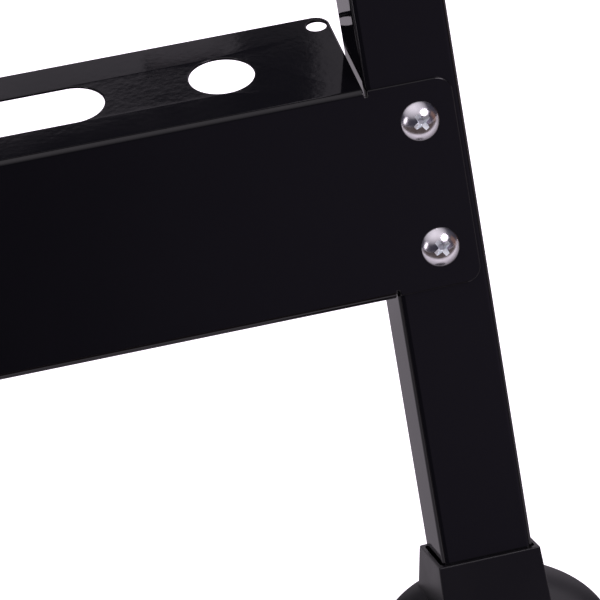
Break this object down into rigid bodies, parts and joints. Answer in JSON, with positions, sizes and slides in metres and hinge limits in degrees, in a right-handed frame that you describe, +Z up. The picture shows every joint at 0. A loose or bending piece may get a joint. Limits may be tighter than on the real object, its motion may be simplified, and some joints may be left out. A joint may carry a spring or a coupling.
{
  "type": "folding sawhorse",
  "caption": "Folding steel sawhorse: channel beam on two hinged tube-leg frames with bent-sheet tool shelves, folding braces and round plastic feet.",
  "frame": {"origin": "on the floor under the middle of the open sawhorse", "axes": "+Z up out of the working surface, X along the beam, -Y towards the front frame"},
  "size_m": [0.695, 0.8268, 0.74],
  "materials": {
    "coated_steel": "gloss black powder coat",
    "moulded_plastic": "satin moulded",
    "zinc_steel": "bright zinc plate",
    "nylon": "natural nylon"
  },
  "bodies": {
    "top": {"top_beam": "coated_steel", "beam_cap_left": "moulded_plastic", "beam_cap_right": "moulded_plastic", "hinge_bracket_left": "coated_steel", "hinge_bracket_right": "coated_steel", "pivot_bolts": "zinc_steel", "pivot_nuts": "zinc_steel", "pivot_washers": "nylon"},
    "front_frame": {"leg_front_left": "coated_steel", "leg_front_right": "coated_steel", "leg_plugs_front": "moulded_plastic", "foot_front_left": "moulded_plastic", "foot_front_right": "moulded_plastic", "shelf_front": "coated_steel", "shelf_screws_front": "zinc_steel", "shelf_nuts_front": "zinc_steel", "leg_rivets_front": "zinc_steel"},
    "rear_frame": {"leg_rear_left": "coated_steel", "leg_rear_right": "coated_steel", "leg_plugs_rear": "moulded_plastic", "foot_rear_left": "moulded_plastic", "foot_rear_right": "moulded_plastic", "shelf_rear": "coated_steel", "shelf_screws_rear": "zinc_steel", "shelf_nuts_rear": "zinc_steel", "leg_rivets_rear": "zinc_steel", "brace_spacers_rear": "zinc_steel"},
    "brace_front_left": {"brace_link_front_left": "coated_steel", "brace_rivet_front_left": "zinc_steel"},
    "brace_front_right": {"brace_link_front_right": "coated_steel", "brace_rivet_front_right": "zinc_steel"},
    "brace_rear_left": {"brace_link_rear_left": "coated_steel", "brace_rivet_rear_left": "zinc_steel"},
    "brace_rear_right": {"brace_link_rear_right": "coated_steel", "brace_rivet_rear_right": "zinc_steel"}
  },
  "joints": [
    {"name": "front_fold", "type": "hinge", "parent": "top", "child": "front_frame", "pos_m": [0, -0.038, 0.716], "axis": [1, 0, 0], "range_deg": [0, 25]},
    {"name": "rear_fold", "type": "hinge", "parent": "top", "child": "rear_frame", "pos_m": [0, 0.038, 0.716], "axis": [-1, 0, 0], "range_deg": [0, 25]},
    {"name": "brace_front_left_swing", "type": "hinge", "parent": "front_frame", "child": "brace_front_left", "pos_m": [-0.2685, -0.16478, 0.44411], "axis": [1, 0, 0], "range_deg": [0, 51.68]},
    {"name": "brace_front_right_swing", "type": "hinge", "parent": "front_frame", "child": "brace_front_right", "pos_m": [0.2685, -0.16478, 0.44411], "axis": [1, 0, 0], "range_deg": [0, 51.68]},
    {"name": "brace_rear_left_swing", "type": "hinge", "parent": "rear_frame", "child": "brace_rear_left", "pos_m": [-0.26575, 0.16478, 0.44411], "axis": [-1, 0, 0], "range_deg": [0, 51.68]},
    {"name": "brace_rear_right_swing", "type": "hinge", "parent": "rear_frame", "child": "brace_rear_right", "pos_m": [0.26575, 0.16478, 0.44411], "axis": [-1, 0, 0], "range_deg": [0, 51.68]}
  ],
  "couplings": [
    {"joint": "rear_fold", "follows": "front_fold", "ratio": 1},
    {"joint": "brace_front_left_swing", "follows": "front_fold", "ratio": 2.0667},
    {"joint": "brace_front_right_swing", "follows": "front_fold", "ratio": 2.0667},
    {"joint": "brace_rear_left_swing", "follows": "front_fold", "ratio": 2.0667},
    {"joint": "brace_rear_right_swing", "follows": "front_fold", "ratio": 2.0667}
  ]
}
